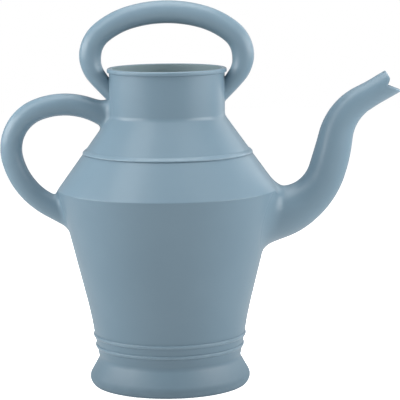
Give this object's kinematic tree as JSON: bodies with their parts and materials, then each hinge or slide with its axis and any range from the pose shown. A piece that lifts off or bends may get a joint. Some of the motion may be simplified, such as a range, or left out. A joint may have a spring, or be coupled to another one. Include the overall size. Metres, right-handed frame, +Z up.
{
  "type": "watering can",
  "caption": "Milk-churn shaped watering can with a swan-neck spout, an open rear loop handle and an upright carrying hoop over its round filling mouth.",
  "frame": {"origin": "centre of the foot's standing ring, on the surface the can stands on", "axes": "+Z up along the body's axis, +X towards the spout, the rear handle at -X; the spout and both handles lie in the XZ plane"},
  "size_m": [0.4271, 0.235, 0.4112],
  "materials": {
    "shell": "satin slate blue moulded plastic",
    "trim": "satin slate blue moulded plastic, slightly burnished beads and rim",
    "spout": "satin slate blue moulded plastic",
    "handle": "satin slate blue moulded plastic, smoother where it is held"
  },
  "bodies": {
    "root": {"base_pan": "shell", "foot": "shell", "waist_band": "trim", "tank": "shell", "shoulder": "shell", "shoulder_band": "trim", "throat": "shell", "neck": "shell", "rim": "trim", "spout": "spout", "rear_handle": "handle", "top_handle": "handle"}
  },
  "joints": []
}
